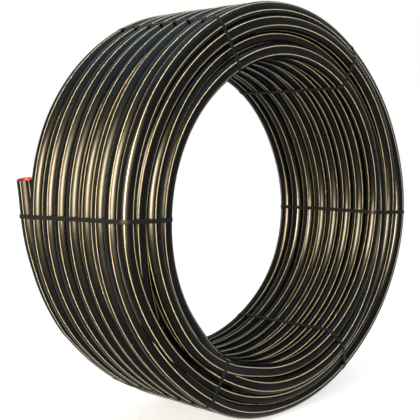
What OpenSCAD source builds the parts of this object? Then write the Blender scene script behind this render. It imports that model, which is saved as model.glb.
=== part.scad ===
// Coil of plastic cable duct, standing on its rim.
// The coil's axis runs along Y, its near end faces -Y, and the floor is z = 0.
// The origin lies on the floor, under the middle of the whole object.

/* [Duct] */
// Outside diameter of the duct
duct_d = 50; // [25:1:75]
// Wall of the duct, its coloured lining included
wall_t = 4.6; // [2:0.1:8]

/* [Winding] */
// Radius of the eye, to the crests of the innermost turns
bore_r = 476; // [300:1:900]
// Turns side by side in each layer
turns = 8; // [3:1:12]
// Layers wound on each other
layers = 4; // [2:1:6]
// Free gap between neighbouring turns of a layer
turn_gap = 8; // [1:0.5:12]
// Slack between the turns of one layer and those they nest on
layer_gap = 0.4; // [0.1:0.1:2]

/* [Free end] */
// Angle at which the free end leaves the last turn, from +X towards +Z
leave_angle = 240; // [225:1:260]
// Strap that holds the free end down, counted from 0
end_strap = 3; // [3:1:3]
// How far the free end's bend is wider than the last turn
bend_slack = 34; // [0:1:60]
// How far the bend runs on past its strap, in degrees
bend_past = 1.8; // [1:0.1:4]
// Length of the straight part at the free end
straight_end = 75; // [50:1:200]
// Stretch of the bend, up to the straight part, that is hollow like the duct, in degrees
hollow_sweep = 15; // [5:0.5:16]
// Depth by which the free end starts inside the last turn
root_sink = 12; // [10:0.5:16]

/* [Straps] */
// Angle of each strap, from +X towards +Z
strap_angles = [-3, 57, 119, 178.5, 236, 300];
// Width of the strap
strap_w = 12; // [8:1:25]
// Thickness of the strap
strap_t = 1; // [0.5:0.1:2]
// Clearance between a strap and the turns that it crosses
strap_gap = 0.3; // [0.1:0.1:1]

/* [Hidden] */
strap_count = len(strap_angles);
$fn = 144;
tube_fn = 48;
cut_over = 1;
cut_sweep = 0.1;

duct_r = duct_d / 2;
pitch = duct_d + turn_gap;
layer_step = sqrt(pow(duct_d + layer_gap, 2) - pow(pitch / 2, 2));
top = layers - 1;
last = turns - 1;
valley = layer_step - duct_r;

// Centre radius of layer k, counted from the eye.
function layer_r(k) = bore_r + duct_r + k * layer_step;

// Place of turn j of layer k across the coil, positive towards the near end. Layers nest in
// each other, so every second one is half a pitch further across.
function across(k, j) = (last / 2 - j) * pitch + ((top - k) % 2 == 0 ? 1 : -1) * pitch / 4;

outer_r = layer_r(top) + duct_r;
band_r = outer_r + strap_gap + strap_t;

// The free end is a wider bend than the last turn. It starts inside that turn and its plane is
// tilted, so that it has moved one pitch over to the far side where the strap holds it.
end_angle = strap_angles[end_strap];
end_sweep = leave_angle - end_angle;
bend_r = layer_r(top) + bend_slack;
bend_centre = layer_r(top) - root_sink - bend_r;
held_arc = end_sweep + asin(bend_centre * sin(end_sweep) / bend_r);
bend_tilt = asin(pitch / (bend_r * sin(held_arc)));
bend_arc = held_arc + bend_past;

function turned(p, a) = [p.x * cos(a) - p.y * sin(a), p.x * sin(a) + p.y * cos(a), p.z];
function tilted(p) = [p.x, p.y * cos(bend_tilt), p.y * sin(bend_tilt)];
function placed(p) = turned(p, leave_angle);
function bend_point(a) =
    placed([bend_centre, 0, across(top, last)] + tilted([bend_r * cos(a), -bend_r * sin(a), 0]));
function bend_dir(a) = placed(tilted([-sin(a), -cos(a), 0]));
tip = bend_point(bend_arc) + straight_end * bend_dir(bend_arc);

// The free end in the plane of its strap: radius, and place across the coil.
held = bend_point(held_arc);
held_at = [norm([held.x, held.y]), held.z];
hoop_dir = turned([0, -1, 0], end_angle);
held_lean = norm(cross(hoop_dir, bend_dir(held_arc)));
held_gap = strap_gap + strap_w * held_lean / 2;

// Reach of the whole object from the coil's axis and middle, towards each side. A bent tube
// reaches one duct radius, seen square to its run, beyond its centre line.
function strap_reach(a) =
    max([for (s = strap_angles) band_r * cos(s - a) + strap_w / 2 * abs(sin(s - a))]);
function tube_reach(p, d, side) = p * side + duct_r * sqrt(1 - pow(d * side, 2));
function end_reach(side) =
    max(concat([tube_reach(tip, bend_dir(bend_arc), side)],
        [for (i = [0:60]) tube_reach(bend_point(bend_arc * i / 60), bend_dir(bend_arc * i / 60), side)]));
held_band = held_at[0] + duct_r + held_gap + strap_t;
reach_right = max(outer_r, strap_reach(0));
reach_left = max(outer_r, strap_reach(180), end_reach([-1, 0, 0]),
    held_band * cos(end_angle - 180) + strap_w / 2 * abs(sin(end_angle - 180)));
reach_down = max(outer_r, strap_reach(270), end_reach([0, -1, 0]));
reach_near = across(top, 0) + duct_r + strap_gap + strap_t;
reach_far = max(end_reach([0, 0, -1]), -held_at[1] + duct_r + held_gap + strap_t);

axis_place = [(reach_left - reach_right) / 2, (reach_near - reach_far) / 2, reach_down];

// Turns a part made about Z so that its axis lies along Y, and stands it on the floor.
module stand() {
    translate(axis_place)
        rotate([90, 0, 0])
            children();
}

// Place of one turn in the winding's section.
module at_turn(k, j) {
    translate([layer_r(k), across(k, j)])
        children();
}

// Section of what lies behind the turns that show.
module core_section() {
    polygon(concat(
        [[layer_r(top) - valley, across(top, 0)], [layer_r(top) - valley, across(top, last)]],
        [for (k = [top - 1:-1:1]) [layer_r(k), across(k, last)]],
        [[layer_r(0) + valley, across(0, last)], [layer_r(0) + valley, across(0, 0)]],
        [for (k = [1:1:top - 1]) [layer_r(k), across(k, 0)]]
    ));
}

module winding() {
    rotate_extrude()
        core_section();
    for (k = [0:top], j = [0:last])
        if (k == 0 || k == top || j == 0 || j == last)
            rotate_extrude()
                at_turn(k, j)
                    circle(r = duct_r, $fn = tube_fn);
}

// Puts what is drawn about the centre of the free end's bend, in its plane, in its place.
module at_bend() {
    rotate([0, 0, leave_angle])
        translate([bend_centre, 0, across(top, last)])
            rotate([bend_tilt, 0, 0])
                children();
}

// The free end's bend between two angles along it.
module bend(from, to, r) {
    at_bend()
        rotate_extrude(angle = to - from, start = -to)
            translate([bend_r, 0])
                circle(r = r, $fn = tube_fn);
}

// A rod along the straight part of the free end, between two distances from the end of the bend.
module straight(from, to, r) {
    at_bend()
        rotate([0, 0, -bend_arc])
            translate([bend_r, -from, 0])
                rotate([90, 0, 0])
                    cylinder(h = to - from, r = r, $fn = tube_fn);
}

// Outline of a taut band round the section of the winding, and round the free end if it is held.
module band_outline(thickness, holds_end) {
    hull() {
        for (k = [0:top], j = [0, last])
            at_turn(k, j)
                circle(r = duct_r + strap_gap + thickness, $fn = tube_fn);
        if (holds_end)
            translate(held_at)
                circle(r = duct_r + held_gap + thickness, $fn = tube_fn);
    }
}

module duct() {
    color("#22262a")
        stand() {
            winding();
            difference() {
                bend(0, bend_arc, duct_r);
                bend(bend_arc - hollow_sweep, bend_arc + cut_sweep, duct_r - wall_t);
            }
        }
}

// The straight part of the same duct, open to its end.
module duct_end() {
    color("#22262a")
        stand()
            difference() {
                straight(0, straight_end, duct_r);
                straight(-cut_over, straight_end + cut_over, duct_r - wall_t);
            }
}

module strap(i) {
    color("#101214")
        stand()
            rotate([0, 0, strap_angles[i]])
                rotate([90, 0, 0])
                    linear_extrude(strap_w, center = true)
                        difference() {
                            band_outline(strap_t, i == end_strap);
                            band_outline(0, i == end_strap);
                        }
}

duct();
duct_end();
for (i = [0:strap_count - 1])
    strap(i);
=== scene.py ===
import bpy
import math
import numpy as np
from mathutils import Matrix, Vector


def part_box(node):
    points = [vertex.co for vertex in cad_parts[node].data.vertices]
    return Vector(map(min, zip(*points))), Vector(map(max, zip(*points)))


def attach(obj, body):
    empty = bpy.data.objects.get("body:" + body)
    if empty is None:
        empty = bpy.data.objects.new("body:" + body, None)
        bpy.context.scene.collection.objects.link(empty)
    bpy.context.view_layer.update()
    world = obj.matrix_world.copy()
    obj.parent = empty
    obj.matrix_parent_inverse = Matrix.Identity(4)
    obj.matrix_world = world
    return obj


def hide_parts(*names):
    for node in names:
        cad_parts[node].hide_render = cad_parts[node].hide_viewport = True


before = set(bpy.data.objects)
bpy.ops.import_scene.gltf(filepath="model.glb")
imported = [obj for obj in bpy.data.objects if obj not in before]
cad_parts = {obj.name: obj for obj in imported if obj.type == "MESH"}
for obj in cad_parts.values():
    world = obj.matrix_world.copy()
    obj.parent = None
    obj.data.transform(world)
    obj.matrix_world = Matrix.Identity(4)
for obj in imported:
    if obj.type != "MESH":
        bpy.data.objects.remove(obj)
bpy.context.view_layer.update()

# ---------------------------------------------------------------- sizes, in metres and degrees
DUCT_R = 0.025
WALL = 0.0046
LINING = 0.0012  # thickness of the coloured lining, part of the wall
PITCH = 0.058
TURNS = 8
LAYERS = 4
TOP = LAYERS - 1
LAYER_GAP = 0.0004
# Each layer lies in the valleys of the one below it.
LAYER_STEP = math.sqrt((2 * DUCT_R + LAYER_GAP) ** 2 - (PITCH / 2) ** 2)
STRIPES = 6
STRIPE_W = 0.0022
STEPS = 360  # rings in a turn

STRAP_ANGLES = (-3.0, 57.0, 119.0, 178.5, 236.0, 300.0)
STRAP_W = 0.012
STRAP_T = 0.001
STRAP_GAP = 0.0003
# The strap that holds the free end, and how much lower it lies at the near and at the far side.
END_STRAP = 3
END_STRAP_LOWER = (0.004, 0.016)

# The coil's axis, from the box of the duct: its right, lower and near sides touch the outer turns.
duct_lo, duct_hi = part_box("duct")
OUTER_R = (duct_hi.z - duct_lo.z) / 2
NEAR = (TURNS - 1) / 2 * PITCH + PITCH / 4 + DUCT_R
AXIS = Vector((duct_hi.x - OUTER_R, duct_lo.y + NEAR, (duct_hi.z + duct_lo.z) / 2))
LAYER_R = [OUTER_R - DUCT_R - (TOP - k) * LAYER_STEP for k in range(LAYERS)]

# The free end: a bend that is wider than the last turn and tilted towards the far side, and
# past its strap a straight part.
LEAVE_ANGLE = 240.0
BEND_SLACK = 0.034
ROOT_SINK = 0.012
BEND_PAST = 1.8
STRAIGHT = 0.075
TIP_OUT = 0.007
# It is sawn a little out of square, lower on the near side.
SAW_SLANT = math.tan(math.radians(9.0))
LEAVE = math.radians(LEAVE_ANGLE)
BEND_SWEEP = LEAVE - math.radians(STRAP_ANGLES[END_STRAP])
BEND_R = LAYER_R[TOP] + BEND_SLACK
BEND_CENTRE = LAYER_R[TOP] - ROOT_SINK - BEND_R
HELD_ARC = BEND_SWEEP + math.asin(BEND_CENTRE * math.sin(BEND_SWEEP) / BEND_R)
BEND_TILT = math.asin(PITCH / (BEND_R * math.sin(HELD_ARC)))
BEND_ARC = HELD_ARC + math.radians(BEND_PAST)


def smooth(x):
    x = np.clip(x, 0.0, 1.0)
    return x * x * (3 - 2 * x)


def side(k):
    return 1.0 if (TOP - k) % 2 == 0 else -1.0


def across(k, j):
    """Place of turn j of layer k across the coil, positive towards the near end."""
    return ((TURNS - 1) / 2 - j) * PITCH + side(k) * PITCH / 4


# ---------------------------------------------------------------- run of the duct
# theta runs from +X towards +Z. The duct is wound towards smaller theta, out and back:
# layers 0 and 2 towards the near end, layers 1 and 3 towards the far end. Every turn moves over
# by one pitch between JOG_FROM and JOG_TO, where the last turn of a layer climbs onto the next.
JOG_FROM, JOG_TO = LEAVE_ANGLE, 184.0
EARLY_FROM, EARLY_TO = 258.0, 216.0
# How much higher a turn of each layer rides halfway through its move.
JOG_LIFT = (0.0, 0.0008, 0.0022, 0.0045)

# How the layers have settled, in millimetres, at the angles in HELD: at their near end and at their
# far end, first towards the near side, then outwards. A layer that crosses over the crests of the
# one below rides higher, and one that has slipped over them lies in the next valleys.
HELD = (-90.0, -60.0, -30.0, -3.0, 25.0, 57.0, 90.0, 119.0, 150.0, 178.5, 210.0, 236.0)
NEAR_SHIFT = (
    (8, 7, 11, 15, 22, 29, 28, 27, 13, 8, 3, 8),
    (0, 0, -10, -18, -24, -29, -26, -20, -14, -13, -2, 8),
    (10, 12, 20, 24, 28, 29, 27, 23, 12, 4, 4, 4),
    (-26, -23, -4, 3, -10, -24, -16, -8, -15, -18, -8, -4),
)
FAR_SHIFT = (
    (12, 19, 29, 24, 11, 9, 5, 5, 3, 3, 3, 5),
    (0, 0, 0, -6, -8, -8, -6, -4, -2, 0, 0, 0),
    (4, 6, 10, 12, 12, 10, 6, 4, 0, 0, 0, 0),
    (-6, -4, 0, 2, -2, -8, -2, -10, -17, -6, -4, -3),
)
NEAR_LIFT = (
    (0,) * 12,
    (0, 0, 0, 2, 2, 0, 0, 0, 2, 4, 2, 0),
    (-4, 0, 2, 4, 4, 3, 0, 2, 4, 4, 2, 0),
    (-7, 0, 2, 8, 8, 5, 0, 3, 9, 9, 4, 0),
)
FAR_LIFT = (
    (0,) * 12,
    (0,) * 12,
    (0, 0, 0, 2, 2, 0, 0, 2, 4, 4, 2, 0),
    (0, 0, 2, 5, 5, 3, 2, 8, 9, 9, 4, 0),
)
# How far the outer turns are pushed to the near side where the strap holds the free end, from the
# near end to the far end, in millimetres, and over how many degrees to each side that fades.
HELD_TURNS = (0.0, 4.0, 11.0, 9.0, 7.0, 6.0, 6.0, 0.0)
HELD_SPREAD = 55.0

# A slight unevenness of the turns, outwards and sideways. Outwards it fades at the floor, and
# sideways it is less in the turns at the two ends. The outer layer lies in by about the height of
# its waves. FADE_IN is how many degrees the unevenness takes to come up at the start of a layer.
WAVES_A_TURN = (0.83, 1.37, 2.11, 3.29)
WAVES_TOTAL = 2.4  # about the greatest sum of the waves, before they are scaled
OUT_WAVE, OUT_WAVE_TOP, SIDE_WAVE = 0.0012, 0.0008, 0.0018
OUT_SEED, SIDE_SEED = 11, 31
END_TURN_SHARE = 0.35
DRAWN_IN = 0.0009
FLOOR_ANGLE, FLOOR_SPREAD = 270.0, 24.0
FADE_IN = 40.0


def eased(values, theta):
    """A smooth closed curve through values, in millimetres at the angles in HELD, as metres at theta."""
    t = (np.asarray(theta) - HELD[0]) % 360.0 + HELD[0]
    stops = np.array(HELD + (HELD[0] + 360.0,))
    v = np.array(tuple(values) + (values[0],)) * 0.001
    gap = np.diff(stops)
    rate = np.diff(v) / gap
    slope = (rate * np.roll(gap, 1) + np.roll(rate, 1) * gap) / (gap + np.roll(gap, 1))
    slope = np.append(slope, slope[0])
    i = np.clip(np.searchsorted(stops, t, side="right") - 1, 0, len(gap) - 1)
    x = (t - stops[i]) / gap[i]
    return (v[i] * (1 + 2 * x) * (1 - x) ** 2 + slope[i] * gap[i] * x * (1 - x) ** 2
            + v[i + 1] * x * x * (3 - 2 * x) + slope[i + 1] * gap[i] * x * x * (x - 1))


def settle(k, turn, theta):
    """(outwards, towards the near end): how layer k has moved at theta, at its turn, from 0 to 7."""
    f = turn / (TURNS - 1)
    dr = eased(NEAR_LIFT[k], theta) * (1 - f) + eased(FAR_LIFT[k], theta) * f
    dw = eased(NEAR_SHIFT[k], theta) * (1 - f) + eased(FAR_SHIFT[k], theta) * f
    if k == TOP:
        t = (theta - STRAP_ANGLES[END_STRAP] + 180.0) % 360.0 - 180.0
        pushed = np.interp(turn, np.arange(TURNS), HELD_TURNS) * 0.001
        dw = dw + pushed * np.exp(-(t / HELD_SPREAD) ** 2)
    return dr, dw


def wobble(seed, turn, theta, amount):
    """A slow, small unevenness that is the same on every run and joins from turn to turn."""
    u = turn - theta / 360.0
    rng = np.random.default_rng(seed)
    total = np.zeros_like(u)
    for f in WAVES_A_TURN:
        total += rng.uniform(0.4, 1.0) * np.sin(2 * math.pi * f * u + rng.uniform(0, 6.28))
    return amount * total / WAVES_TOTAL


def off_floor(theta):
    """0 at the floor, 1 away from it."""
    return 1 - np.exp(-((theta % 360.0 - FLOOR_ANGLE) / FLOOR_SPREAD) ** 2)


def jog_angles(k, turn):
    """Where a turn starts to move over to its next place, and where it has."""
    early = 0.0
    if k == 0:
        # the eye's nearest turn moves over lower down
        early = float(turn >= TURNS - 2)
    elif k == 1:
        # and so do the turns that it makes way for, one after the other
        early = 1.0 - turn / (TURNS - 1)
    return JOG_FROM + (EARLY_FROM - JOG_FROM) * early, JOG_TO + (EARLY_TO - JOG_TO) * early


def turn_path(k, turn, j):
    """One turn, from the end of a jog to the end of the next: theta, radius, place across, turns so far."""
    last = turn == TURNS - 1
    # the last turn of all stops where the free end leaves it
    stop = LEAVE_ANGLE if last and k == TOP else JOG_TO
    th = np.linspace(JOG_TO, stop - 360.0, STEPS + 1)
    jog_from, jog_to = jog_angles(k, turn)
    x = smooth((jog_from - 360.0 - th) / (jog_from - jog_to))
    dr, dw = settle(k, j if last else j + side(k) * x, th)
    r = LAYER_R[k] + dr
    w = across(k, j) + dw
    # the unevenness fades where the run comes from one layer and goes on to the next
    fade = smooth((JOG_TO - th) / FADE_IN) if turn == 0 else np.ones_like(th)
    if not last:
        r = r + 4 * x * (1 - x) * JOG_LIFT[k]
        w = w - side(k) * PITCH * x
    elif k < TOP:
        up_r, up_w = settle(k + 1, j, th)
        r = r + (LAYER_R[k + 1] - LAYER_R[k] + up_r - dr) * x
        w = w + (side(k + 1) * PITCH / 2 + up_w - dw) * x
        fade = fade * (1 - x)
    out_wave = OUT_WAVE_TOP if k == TOP else OUT_WAVE
    share = END_TURN_SHARE if j in (0, TURNS - 1) else 1.0
    r = r + wobble(OUT_SEED + k, turn, th, out_wave) * off_floor(th) * fade
    w = w + wobble(SIDE_SEED + k, turn, th, SIDE_WAVE) * share * fade
    if k == TOP:
        r = r - DRAWN_IN * off_floor(th)
    return np.stack([th, r, w, turn + (JOG_TO - th) / 360.0])


def layer_path(k):
    """Centre line of layer k as rows: theta in degrees, radius, place across, turns so far."""
    order = range(TURNS) if side(k) > 0 else range(TURNS - 1, -1, -1)
    turns = [turn_path(k, turn, j) for turn, j in enumerate(order)]
    # the last point of a turn is the first of the next
    return np.concatenate([t[:, :-1] for t in turns[:-1]] + turns[-1:], axis=1)


def place(p):
    c, s = math.cos(LEAVE), math.sin(LEAVE)
    return np.array([p[0] * c - p[1] * s, p[0] * s + p[1] * c, p[2]])


def tilted(x, y):
    return np.array([x, y * math.cos(BEND_TILT), y * math.sin(BEND_TILT)])


def bend_point(a):
    centre = np.array([BEND_CENTRE, 0.0, across(TOP, TURNS - 1)])
    return place(centre + tilted(BEND_R * math.cos(a), -BEND_R * math.sin(a)))


def bend_dir(a):
    return place(tilted(-math.sin(a), -math.cos(a)))


# Rings in the bend and in the straight part of the free end.
BEND_RINGS, STRAIGHT_RINGS = 64, 16
# The start of the bend lies at most this far inside the centre line of the last turn.
BEND_SUNK = 0.0006
# Rings before and after the join of the last turn and the bend that are softened, and how often.
JOIN_BEFORE, JOIN_AFTER, JOIN_PASSES = 28, 26, 110


def tail_path():
    """Centre line of the free end, in the coil's plane: x, y and place across."""
    run = [bend_point(a) for a in np.linspace(0.0, BEND_ARC, BEND_RINGS)]
    for s in np.linspace(0.0, STRAIGHT, STRAIGHT_RINGS + 1)[1:]:
        run.append(bend_point(BEND_ARC) + s * bend_dir(BEND_ARC))
    run = np.array(run)
    # past its strap the end springs a little outwards
    up = np.clip(run[:, 1] / run[-1, 1], 0.0, 1.0)
    run[:, 0] -= TIP_OUT * up ** 1.5
    r = np.hypot(run[:, 0], run[:, 1])
    lift = np.maximum(LAYER_R[TOP] - BEND_SUNK - r, 0.0)
    run[:, :2] += run[:, :2] / r[:, None] * lift[:, None]
    return run


def softened(points, join):
    """The run of the duct with its join at that point eased."""
    near_join = slice(join - JOIN_BEFORE, join + JOIN_AFTER)
    for _ in range(JOIN_PASSES):
        mid = points[near_join].copy()
        mid[1:-1] = 0.5 * mid[1:-1] + 0.25 * (mid[2:] + mid[:-2])
        points[near_join] = mid
    return points


def to_world(local):
    """From x, y and place across, about the coil's axis, to the frame."""
    return np.stack([AXIS.x + local[..., 0], AXIS.y - local[..., 2], AXIS.z + local[..., 1]], -1)


# Turn of the stripes round the duct, in degrees, at the start of each turn of a layer. Those of
# layers 3 and 0 are measured values, and those of layers 2 and 1 are chosen between them.
PHASE = {
    3: (-20.0, -34.0, -48.0, -50.0, -44.0, -35.0, -34.0, -42.0, -41.0),
    2: (12.0, 18.0, 26.0, 22.0, 14.0, 8.0, 2.0, -3.0, -20.0),
    1: (10.0, 6.0, 0.0, -6.0, -8.0, 0.0, 6.0, 10.0, 12.0),
    0: (-47.0, -35.0, -22.5, -13.0, -6.0, 0.0, 4.0, 2.0, 10.0),
}
# The inner end starts this far past the strap that holds the free end, in degrees.
INNER_PAST = 3.0


def duct_run(k):
    """Centre line of layer k in the coil's plane, and the turn of its stripes, point by point."""
    th, r, w, u = layer_path(k)
    phase = np.interp(u, np.arange(TURNS + 1), PHASE[k])
    t = np.radians(th)
    points = np.stack([r * np.cos(t), r * np.sin(t), w], -1)
    if k == TOP:
        # the last turn runs on into the free end
        tail = tail_path()[1:]
        points = softened(np.concatenate([points, tail]), len(th))
        phase = np.concatenate([phase, np.full(len(tail), PHASE[k][-1])])
    if k == 0:
        keep = th < STRAP_ANGLES[END_STRAP] + INNER_PAST
        keep[STEPS:] = True
        points, phase = points[keep], phase[keep]
    return points, phase


# ---------------------------------------------------------------- meshes
def make_object(name, verts, faces, mats, mat_index, uvs):
    me = bpy.data.meshes.new(name)
    me.from_pydata([tuple(map(float, v)) for v in verts], [], [tuple(map(int, f)) for f in faces])
    for m in mats:
        me.materials.append(m)
    me.polygons.foreach_set("material_index", np.asarray(mat_index, dtype=np.int32))
    me.polygons.foreach_set("use_smooth", np.full(len(me.polygons), True))
    layer = me.uv_layers.new(name="UVMap")
    layer.data.foreach_set("uv", np.asarray(uvs, dtype=np.float32).ravel())
    me.update()
    ob = bpy.data.objects.new(name, me)
    bpy.context.scene.collection.objects.link(ob)
    return ob


PLAIN_STEPS = 4  # facets between two stripes


def section_angles():
    """Section angles of a duct in degrees, and which gaps between them are stripe."""
    half = math.degrees(STRIPE_W / DUCT_R) / 2
    angles, stripe = [], []
    for i in range(STRIPES):
        mid = i * 360.0 / STRIPES
        angles.append(mid - half)
        angles.extend(np.linspace(mid + half, mid + 360.0 / STRIPES - half, PLAIN_STEPS + 1)[:-1])
        stripe.extend([True] + [False] * PLAIN_STEPS)
    return np.array(angles), np.array(stripe)


def unit(vectors):
    return vectors / np.linalg.norm(vectors, axis=1)[:, None]


def frames(points):
    """Along the run, outwards and towards the near end, at each point of a centre line."""
    along = unit(np.gradient(points, axis=0))
    out = unit(points * np.array([1.0, 1.0, 0.0]))
    out = unit(out - (out * along).sum(1)[:, None] * along)
    near = np.cross(along, out)
    return along, out, near * np.where(near[:, 2] < 0, -1.0, 1.0)[:, None]


# How much the saw cut faces outwards, and how much towards the near end.
SAW_OUT, SAW_NEAR = 0.62, 0.78


def slanted(ring, centre, along, out, near):
    """The points of a duct's end, moved along its run onto the plane of the saw cut."""
    return ring - along * SAW_SLANT * ((ring - centre) @ (SAW_OUT * out + SAW_NEAR * near))[:, None]


def tube(points, phase, start_s, sawn):
    """Skin of a duct: vertices, quads, stripe flags, UVs (metres along and around) and length so far."""
    ang, stripe = section_angles()
    along, out, near = frames(points)
    n, seg = len(points), len(ang)
    a = np.radians(ang[None, :] + phase[:, None])[..., None]
    ring = points[:, None, :] + DUCT_R * (np.cos(a) * out[:, None, :] + np.sin(a) * near[:, None, :])
    if sawn:
        ring[-1] = slanted(ring[-1], points[-1], along[-1], out[-1], near[-1])
    i = np.arange(n - 1)[:, None] * seg
    j = np.arange(seg)[None, :]
    j2 = (j + 1) % seg
    quads = np.stack([i + seg + j, i + seg + j2, i + j2, i + j], -1).reshape(-1, 4)
    striped = np.broadcast_to(stripe[None, :], (n - 1, seg)).reshape(-1).astype(int)
    gaps = np.linalg.norm(np.diff(points, axis=0), axis=1)
    s = np.concatenate([[0.0], np.cumsum(gaps)]) + start_s
    around = np.radians(np.append(ang, ang[0] + 360.0)) * DUCT_R
    u0, u1 = s[:-1, None] + 0 * j, s[1:, None] + 0 * j
    v0, v1 = around[:-1] + 0 * u0, around[1:] + 0 * u0
    corners = [np.stack(c, -1) for c in ((u1, v0), (u1, v1), (u0, v1), (u0, v0))]
    uv = np.stack(corners, 2).reshape(-1, 2)
    return ring.reshape(-1, 3), quads, striped, uv, s[-1]


# ---------------------------------------------------------------- materials
PLASTIC_IOR = 1.5


def nodes_of(mat):
    mat.use_nodes = True
    nt = mat.node_tree
    nt.nodes.clear()
    out = nt.nodes.new("ShaderNodeOutputMaterial")
    bsdf = nt.nodes.new("ShaderNodeBsdfPrincipled")
    nt.links.new(bsdf.outputs["BSDF"], out.inputs["Surface"])
    return nt, bsdf


def node(nt, kind, **values):
    n = nt.nodes.new(kind)
    for key, value in values.items():
        if key in n.inputs:
            n.inputs[key].default_value = value
        else:
            setattr(n, key, value)
    return n


def noise(nt, vector, scale, detail, roughness):
    """Noise over the surface, with its own scale along and around the run."""
    mapping = node(nt, "ShaderNodeMapping", Scale=scale)
    nt.links.new(vector, mapping.inputs["Vector"])
    n = node(nt, "ShaderNodeTexNoise", Scale=1.0, Detail=detail, Roughness=roughness)
    nt.links.new(mapping.outputs["Vector"], n.inputs["Vector"])
    return n.outputs["Fac"]


def ramp(nt, source, stops):
    r = nt.nodes.new("ShaderNodeValToRGB")
    for e, (pos, col) in zip(r.color_ramp.elements, stops):
        e.position = pos
        e.color = (*col, 1.0)
    nt.links.new(source, r.inputs["Fac"])
    return r.outputs["Color"]


def remap(nt, source, lo, hi, to_lo, to_hi):
    m = nt.nodes.new("ShaderNodeMapRange")
    m.inputs["From Min"].default_value = lo
    m.inputs["From Max"].default_value = hi
    m.inputs["To Min"].default_value = to_lo
    m.inputs["To Max"].default_value = to_hi
    nt.links.new(source, m.inputs["Value"])
    return m.outputs["Result"]


def bumped(nt, bsdf, reliefs):
    """Reliefs of the surface, each as (height, strength, distance), one on the other."""
    below = None
    for height, strength, distance in reliefs:
        bump = node(nt, "ShaderNodeBump", Strength=strength, Distance=distance)
        nt.links.new(height, bump.inputs["Height"])
        if below is not None:
            nt.links.new(below.outputs["Normal"], bump.inputs["Normal"])
        below = bump
    nt.links.new(below.outputs["Normal"], bsdf.inputs["Normal"])


def duct_material(name, dark, light, rough, specular):
    """Extruded polyethylene: fine lines along the run, faint scuffs and a little dust."""
    mat = bpy.data.materials.new(name)
    nt, bsdf = nodes_of(mat)
    uv = nt.nodes.new("ShaderNodeTexCoord").outputs["UV"]
    lines = noise(nt, uv, (1.5, 520.0, 1.0), 3.0, 0.6)
    scuff = noise(nt, uv, (26.0, 120.0, 1.0), 5.0, 0.65)
    patch = noise(nt, uv, (3.2, 22.0, 1.0), 2.0, 0.5)
    colour = ramp(nt, scuff, ((0.35, dark), (0.80, light)))
    nt.links.new(colour, bsdf.inputs["Base Color"])
    add = node(nt, "ShaderNodeMath", operation="ADD")
    nt.links.new(remap(nt, patch, 0.3, 0.7, rough - 0.05, rough + 0.05), add.inputs[0])
    nt.links.new(remap(nt, scuff, 0.55, 0.85, 0.0, 0.12), add.inputs[1])
    nt.links.new(add.outputs[0], bsdf.inputs["Roughness"])
    bumped(nt, bsdf, ((lines, 0.02, 0.0004), (patch, 0.015, 0.0006)))
    bsdf.inputs["IOR"].default_value = PLASTIC_IOR
    bsdf.inputs["Specular IOR Level"].default_value = specular
    return mat


def strap_material():
    """Polyester strapping: a fine diamond embossing and a dull sheen."""
    mat = bpy.data.materials.new("strap_black")
    nt, bsdf = nodes_of(mat)
    uv = nt.nodes.new("ShaderNodeTexCoord").outputs["UV"]
    cross = node(nt, "ShaderNodeMath", operation="MULTIPLY")
    for i, angle in enumerate((52.0, -52.0)):
        turn = node(nt, "ShaderNodeMapping", Rotation=(0.0, 0.0, math.radians(angle)))
        nt.links.new(uv, turn.inputs["Vector"])
        wave = node(nt, "ShaderNodeTexWave", wave_type="BANDS", bands_direction="X", wave_profile="SIN",
                    Scale=140.0)
        nt.links.new(turn.outputs["Vector"], wave.inputs["Vector"])
        nt.links.new(wave.outputs["Fac"], cross.inputs[i])
    fibre = noise(nt, uv, (18.0, 900.0, 1.0), 4.0, 0.6)
    colour = ramp(nt, fibre, ((0.3, (0.007, 0.007, 0.008)), (0.8, (0.016, 0.016, 0.018))))
    nt.links.new(colour, bsdf.inputs["Base Color"])
    nt.links.new(remap(nt, fibre, 0.3, 0.7, 0.44, 0.56), bsdf.inputs["Roughness"])
    bumped(nt, bsdf, ((cross.outputs[0], 0.55, 0.0003), (fibre, 0.12, 0.0002)))
    bsdf.inputs["IOR"].default_value = PLASTIC_IOR
    bsdf.inputs["Specular IOR Level"].default_value = 0.05
    return mat


black = duct_material("duct_black", (0.0022, 0.0022, 0.0024), (0.0055, 0.0053, 0.0050), 0.25, 0.07)
cream = duct_material("duct_stripe", (0.76, 0.65, 0.38), (0.90, 0.80, 0.54), 0.32, 0.12)
lining = duct_material("duct_lining", (0.62, 0.040, 0.006), (0.78, 0.070, 0.012), 0.40, 0.06)
cut = duct_material("duct_cut_face", (0.010, 0.010, 0.011), (0.030, 0.030, 0.030), 0.55, 0.30)
strapping = strap_material()

# ---------------------------------------------------------------- the duct
pieces = []
length = 0.0
for k in range(LAYERS):
    points, phase = duct_run(k)
    verts, quads, striped, uv, length = tube(points, phase, length, sawn=k == TOP)
    ob = make_object(f"duct_layer_{k + 1}", to_world(verts), quads, [black, cream], striped, uv)
    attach(ob, "root")
    pieces.append((ob, points, phase))

END_DEPTH = 0.22  # how far in the lining is made
RIM = 0.0005  # width of the cut face's rims, at the skin and at the bore
FACE_PROUD = 0.00001  # by which the cut face covers the end of the skin
LINING_IN = 0.0004  # from the cut face to the first full ring of the lining
FACE_UV, LINING_UV = 0.004, 0.02  # UV steps from ring to ring


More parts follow.
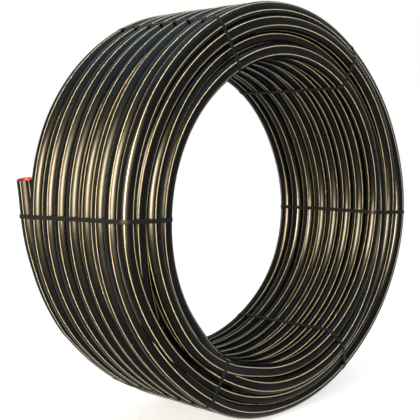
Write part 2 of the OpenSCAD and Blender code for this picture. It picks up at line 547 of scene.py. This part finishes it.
def end_piece(name, points, phase, at_start, depth):
    """Cut face, lining and the inside of a duct's end."""
    along, out, near = frames(points)
    i0 = 0 if at_start else len(points) - 1
    step = 1 if at_start else -1
    run = [i0]
    total = 0.0
    while total < depth:
        nxt = run[-1] + step
        total += np.linalg.norm(points[nxt] - points[run[-1]])
        run.append(nxt)
    ang, _ = section_angles()
    seg = len(ang)
    verts, faces, mats, uvs = [], [], [], []

    def ring(i, radius, push):
        a = np.radians(ang + phase[i])[:, None]
        centre = points[i] - push * step * along[i]
        p = centre + radius * (np.cos(a) * out[i] + np.sin(a) * near[i])
        if i == i0 and not at_start:
            p = slanted(p, points[i], along[i], out[i], near[i])
        verts.extend(p)
        return len(verts) - seg

    def bridge(a, b, material, u):
        for j in range(seg):
            j2 = (j + 1) % seg
            v0, v1 = (math.radians(ang[j] + turn) * DUCT_R for turn in (0.0, 360.0 / seg))
            f = [a + j, a + j2, b + j2, b + j]
            q = [(u, v0), (u, v1), (u + FACE_UV, v1), (u + FACE_UV, v0)]
            faces.append(f[::-step])
            uvs.extend(q[::-step])
            mats.append(material)

    rings = [
        ring(i0, DUCT_R, 0.0),
        ring(i0, DUCT_R - RIM, FACE_PROUD),
        ring(i0, DUCT_R - WALL + LINING, FACE_PROUD),
        ring(i0, DUCT_R - WALL + RIM, FACE_PROUD),
    ]
    for count, material in enumerate((0, 0, 1)):
        bridge(rings[count + 1], rings[count], material, FACE_UV * count)
    previous = rings[3]
    for count, i in enumerate(run):
        here = ring(i, DUCT_R - WALL, 0.0 if count else -LINING_IN)
        bridge(here, previous, 1, 3 * FACE_UV + LINING_UV * count)
        previous = here
    # a disc closes the bore where the lining ends, deep inside
    centre = len(verts)
    verts.append(points[run[-1]])
    for j in range(seg):
        faces.append([previous + j, previous + (j + 1) % seg, centre][::step])
        mats.append(1)
        uvs.extend([(0.0, 0.0), (0.01, 0.0), (0.0, 0.01)])
    ob = make_object(name, to_world(np.array(verts)), faces, [cut, lining], mats, uvs)
    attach(ob, "root")
    return ob


free_end = end_piece("duct_free_end", pieces[3][1], pieces[3][2], False, END_DEPTH)
inner_end = end_piece("duct_inner_end", pieces[0][1], pieces[0][2], True, END_DEPTH)
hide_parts("duct", "duct_end")

# ---------------------------------------------------------------- the straps
# Section of a strap with its edges broken: shares of its width and of its thickness.
STRAP_SECTION = ((-0.5, 0.15), (-0.485, 0.85), (-0.44, 1.0), (0.0, 1.0), (0.44, 1.0),
                 (0.485, 0.85), (0.5, 0.15), (0.44, 0.0), (0.0, 0.0), (-0.44, 0.0))
STRAP_STEP = 0.012  # straight stretches of a strap are cut into facets of at least this length
DUCT_STEP = 5.0  # degrees between the points of a duct that a strap is drawn over
# A slight wander of the band sideways, which a taut strap has.
WANDER, WANDERS = 0.0009, 3
END_WANDER_SHARE = 0.6
# Places across, from the near side to the far side, between which the end's strap swings lower.
END_STRAP_SIDES = (-0.23, 0.27)


def turn_of(a, b, c):
    """Above 0 where the way from a by b to c turns anticlockwise."""
    return (b[0] - a[0]) * (c[1] - a[1]) - (b[1] - a[1]) * (c[0] - a[0])


def hull(points):
    """Convex hull of points in a plane, anticlockwise."""
    pts = sorted(map(tuple, points))

    def half(seq):
        out = []
        for p in seq:
            while len(out) > 1 and turn_of(out[-2], out[-1], p) <= 0:
                out.pop()
            out.append(p)
        return out[:-1]

    return np.array(half(pts) + half(pts[::-1]))


def at_angle(points, angle):
    """Where a run of the duct crosses a half plane of the coil's axis: (radius, across)."""
    t = np.degrees(np.arctan2(points[:, 1], points[:, 0]))
    d = (t - angle + 180.0) % 360.0 - 180.0
    found = []
    for i in range(len(d) - 1):
        # not where d jumps between 180 and -180, on the other side of the axis
        close_by = max(abs(d[i]), abs(d[i + 1])) < 20.0
        if close_by and d[i] * d[i + 1] <= 0 and d[i] != d[i + 1]:
            f = d[i] / (d[i] - d[i + 1])
            p = points[i] * (1 - f) + points[i + 1] * f
            found.append((math.hypot(p[0], p[1]), p[2]))
    return found


def taut_loop(angle):
    """A band's inner side, drawn taut over the settled turns at that angle: (radius, across) points."""
    centres = [c for _, pts, _ in pieces for c in at_angle(pts, angle)]
    t = np.radians(np.arange(0, 360, DUCT_STEP))
    circle = (DUCT_R + STRAP_GAP) * np.stack([np.cos(t), np.sin(t)], -1)
    corners = hull(np.concatenate([np.array(c)[None, :] + circle for c in centres]))
    loop = []
    for a, b in zip(corners, np.roll(corners, -1, 0)):
        n = max(1, int(np.linalg.norm(b - a) / STRAP_STEP))
        loop.extend(a + (b - a) * f / n for f in range(n))
    return np.array(loop)


def strap(i):
    """A taut band over the turns, with a flat section and broken edges."""
    loop = taut_loop(STRAP_ANGLES[i])
    along = unit(np.roll(loop, -1, 0) - np.roll(loop, 1, 0))
    away = np.stack([along[:, 1], -along[:, 0]], -1)
    s = np.concatenate([[0.0], np.cumsum(np.linalg.norm(np.diff(loop, axis=0), axis=1))])
    wander = WANDER * np.sin(s / s[-1] * 2 * math.pi * WANDERS + i)
    if i == END_STRAP:
        # it lies lower towards the far side, where it was drawn over the free end
        lower = np.interp(-loop[:, 1], END_STRAP_SIDES, END_STRAP_LOWER)
        wander = END_WANDER_SHARE * wander + lower
    t = math.radians(STRAP_ANGLES[i])
    outwards = np.array([math.cos(t), math.sin(t), 0.0])
    sideways = np.array([-math.sin(t), math.cos(t), 0.0])
    verts, faces, uvs = [], [], []
    for p, direction, wd in zip(loop, away, wander):
        for x, h in STRAP_SECTION:
            q = p + direction * STRAP_T * h
            verts.append(outwards * q[0] + np.array([0.0, 0.0, q[1]]) + sideways * (x * STRAP_W + wd))
    n, seg = len(loop), len(STRAP_SECTION)
    s = np.append(s, s[-1] + np.linalg.norm(loop[0] - loop[-1]))
    for a in range(n):
        b = (a + 1) % n
        for j in range(seg):
            j2 = (j + 1) % seg
            faces.append([a * seg + j, a * seg + j2, b * seg + j2, b * seg + j])
            va, vb = STRAP_SECTION[j][0] * STRAP_W, STRAP_SECTION[j2][0] * STRAP_W
            uvs.extend([(s[a], va), (s[a], vb), (s[a + 1], vb), (s[a + 1], va)])
    band = to_world(np.array(verts))
    ob = make_object(f"strap_band_{i + 1}", band, faces, [strapping], [0] * len(faces), uvs)
    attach(ob, "root")
    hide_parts(f"strap_{i + 1}")
    return ob


straps = [strap(i) for i in range(len(STRAP_ANGLES))]

for ob in [p[0] for p in pieces] + [free_end, inner_end] + straps:
    ob.data.validate()
    ob.data.update()

# The CAD nodes are carried on, hidden, with the same finishes.
for name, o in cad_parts.items():
    o.data.materials.clear()
    o.data.materials.append(strapping if name.startswith("strap") else black)

# ---------------------------------------------------------------- floor, world and lamps
FLOOR_HALF = 30.0
FLOOR_GREY = 0.80
FLOOR_GLOW = 0.66
WORLD_COLOUR, WORLD_LIGHT = (0.80, 0.88, 1.0, 1.0), 0.55
WHITE = (1.0, 1.0, 1.0, 1.0)


def shown_rays(nt):
    """1 for the rays that show the background: camera, glossy and transmission."""
    path = nt.nodes.new("ShaderNodeLightPath")
    value = path.outputs["Is Camera Ray"]
    for name in ("Is Glossy Ray", "Is Transmission Ray"):
        more = node(nt, "ShaderNodeMath", operation="MAXIMUM")
        nt.links.new(value, more.inputs[0])
        nt.links.new(path.outputs[name], more.inputs[1])
        value = more.outputs[0]
    return value


def make_floor():
    me = bpy.data.meshes.new("floor")
    s = FLOOR_HALF
    me.from_pydata([(-s, -s, 0), (s, -s, 0), (s, s, 0), (-s, s, 0)], [], [(0, 1, 2, 3)])
    ob = bpy.data.objects.new("floor", me)
    bpy.context.scene.collection.objects.link(ob)
    mat = bpy.data.materials.new("floor_paper")
    mat.use_nodes = True
    nt = mat.node_tree
    nt.nodes.clear()
    out = nt.nodes.new("ShaderNodeOutputMaterial")
    diffuse = node(nt, "ShaderNodeBsdfDiffuse", Color=(FLOOR_GREY, FLOOR_GREY, FLOOR_GREY, 1.0))
    # paper white where it is seen, less what the object's shadow takes off it
    glow = node(nt, "ShaderNodeEmission", Color=WHITE)
    times = node(nt, "ShaderNodeMath", operation="MULTIPLY")
    nt.links.new(shown_rays(nt), times.inputs[0])
    times.inputs[1].default_value = FLOOR_GLOW
    nt.links.new(times.outputs[0], glow.inputs["Strength"])
    add = nt.nodes.new("ShaderNodeAddShader")
    nt.links.new(diffuse.outputs[0], add.inputs[0])
    nt.links.new(glow.outputs[0], add.inputs[1])
    nt.links.new(add.outputs[0], out.inputs["Surface"])
    me.materials.append(mat)


def make_world():
    """A soft light on the object, and white where the background is seen."""
    world = bpy.data.worlds.new("world")
    bpy.context.scene.world = world
    world.use_nodes = True
    nt = world.node_tree
    nt.nodes.clear()
    out = nt.nodes.new("ShaderNodeOutputWorld")
    light = node(nt, "ShaderNodeBackground", Color=WORLD_COLOUR, Strength=WORLD_LIGHT)
    shown = node(nt, "ShaderNodeBackground", Color=WHITE, Strength=1.0)
    mix = nt.nodes.new("ShaderNodeMixShader")
    nt.links.new(shown_rays(nt), mix.inputs[0])
    nt.links.new(light.outputs[0], mix.inputs[1])
    nt.links.new(shown.outputs[0], mix.inputs[2])
    nt.links.new(mix.outputs[0], out.inputs["Surface"])


def area(name, azimuth, elevation, distance, width, height, radiance, colour, gloss_only=False):
    """A soft lamp that faces the coil's middle. Azimuth 0 is at -Y and 90 at -X."""
    data = bpy.data.lights.new(name, "AREA")
    data.shape = "RECTANGLE"
    data.size, data.size_y = width, height
    data.energy = radiance * 4 * width * height
    data.color = colour
    ob = bpy.data.objects.new(name, data)
    a, e = math.radians(azimuth), math.radians(elevation)
    back = Vector((-math.sin(a) * math.cos(e), -math.cos(a) * math.cos(e), math.sin(e)))
    ob.location = AXIS + distance * back
    ob.rotation_mode = "QUATERNION"
    ob.rotation_quaternion = (-back).to_track_quat("-Z", "Y")
    ob.visible_camera = False
    ob.visible_diffuse = not gloss_only
    bpy.context.scene.collection.objects.link(ob)


make_floor()
make_world()

WARM = (1.0, 0.79, 0.44)
area("key", 64.0, 10.0, 5.0, 2.2, 1.0, 18.0, WARM)
# The long soft shine on the duct: wide cards that only the gloss shows.
area("shine_core", 60.0, 12.0, 5.0, 1.5, 2.6, 190.0, (1.0, 0.87, 0.62), gloss_only=True)
area("shine", 60.0, 12.0, 5.0, 4.0, 3.4, 23.0, WARM, gloss_only=True)
area("shine_wide", 62.0, 9.0, 5.0, 6.4, 4.4, 6.0, WARM, gloss_only=True)
area("sky", 20.0, 80.0, 4.0, 3.4, 3.4, 0.8, (0.62, 0.80, 1.0))
area("sky_shine", 40.0, 72.0, 4.0, 5.0, 4.0, 1.8, (0.22, 0.62, 1.0), gloss_only=True)

# ---------------------------------------------------------------- camera
CAMERA_PLACE = Vector((-3.137, -2.929, 0.319))  # from the coil's middle, in outer radii
LENS, SENSOR = 72.55, 36.0
SHIFT_X, SHIFT_Y = -0.0617, -0.0021


def make_camera():
    data = bpy.data.cameras.new("camera")
    cam = bpy.data.objects.new("camera", data)
    bpy.context.scene.collection.objects.link(cam)
    cam.location = AXIS + OUTER_R * CAMERA_PLACE
    cam.rotation_mode = "QUATERNION"
    cam.rotation_quaternion = (AXIS - cam.location).to_track_quat("-Z", "Y")
    data.sensor_width = SENSOR
    data.lens = LENS
    data.shift_x = SHIFT_X
    data.shift_y = SHIFT_Y
    data.clip_start, data.clip_end = 0.05, 200.0
    bpy.context.scene.camera = cam


make_camera()
bpy.context.scene.view_settings.view_transform = "Standard"
